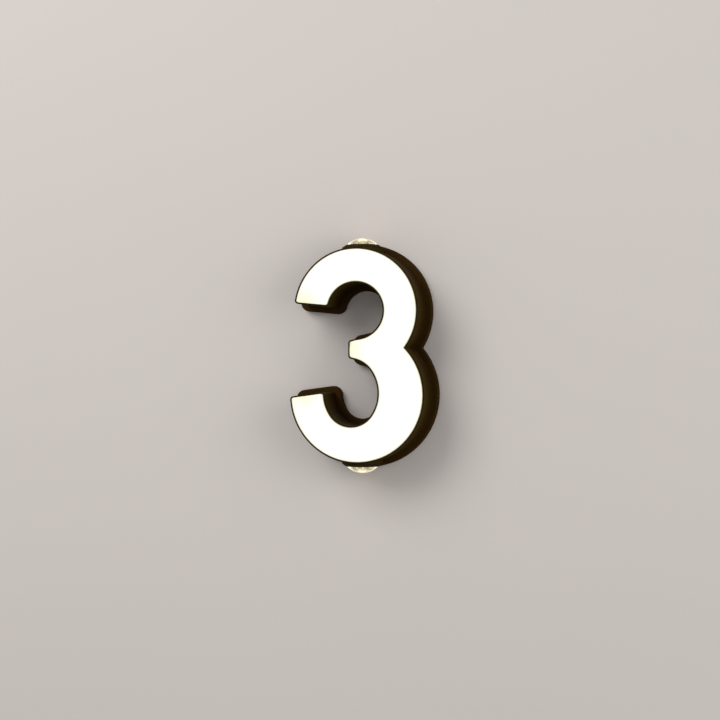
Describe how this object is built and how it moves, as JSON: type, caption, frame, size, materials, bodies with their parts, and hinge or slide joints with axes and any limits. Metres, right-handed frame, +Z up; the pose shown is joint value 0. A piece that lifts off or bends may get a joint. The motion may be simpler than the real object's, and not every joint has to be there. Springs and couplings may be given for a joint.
{
  "type": "illuminated house number sign",
  "caption": "Wall sign in the shape of the numeral three: a deep dark metal shell with a glowing opal face, and a clear domed spot lens in a black ring at its top and at its bottom.",
  "frame": {"origin": "on the wall plane, midway across the sign's width, near its middle height", "axes": "+Z up the wall, +Y into the wall (the back face's outward normal), +X to the right as seen from the street"},
  "size_m": [0.1345, 0.05, 0.2144],
  "materials": {
    "aluminium": "black anodised",
    "black_ring": "satin black",
    "board": "white solder mask",
    "brass": "plain",
    "clear_glass": "clear, moulded",
    "clear_seal": "translucent silicone",
    "dark_paint": "satin dark bronze powder coat",
    "driver_plastic": "light grey",
    "foam": "closed-cell foam",
    "insulation": "extruded",
    "light": "phosphor",
    "opal": "lit opal acrylic",
    "reflector": "metallised",
    "soft_seal": "matt",
    "steel": "stainless",
    "white_nylon": "natural nylon",
    "white_plate": "matt white"
  },
  "bodies": {
    "root": {"base_tray": "dark_paint", "cable_grommet": "soft_seal", "driver_case": "driver_plastic", "driver_input_leads": "insulation", "driver_lid": "driver_plastic", "driver_pad": "foam", "earth_screw": "steel", "earth_tag": "brass", "face_diffuser": "opal", "face_leads": "insulation", "face_leds": "light", "face_seal": "clear_seal", "heat_sink_bottom": "aluminium", "heat_sink_top": "aluminium", "housing_shell": "dark_paint", "led_board": "board", "lens_bottom": "clear_glass", "lens_cup_bottom": "reflector", "lens_cup_top": "reflector", "lens_ring_bottom": "black_ring", "lens_ring_top": "black_ring", "lens_seal_bottom": "soft_seal", "lens_seal_top": "soft_seal", "lens_top": "clear_glass", "mid_plate": "white_plate", "mid_plate_screws": "steel", "set_screws": "steel", "shell_seal": "soft_seal", "spot_board_bottom": "board", "spot_board_top": "board", "spot_leads_bottom": "insulation", "spot_leads_top": "insulation", "spot_led_bottom": "light", "spot_led_top": "light", "spot_screws_bottom": "steel", "spot_screws_top": "steel", "terminal_block": "white_nylon", "terminal_block_screw": "steel", "terminal_clamps": "brass", "wall_gasket": "foam"}
  },
  "joints": []
}
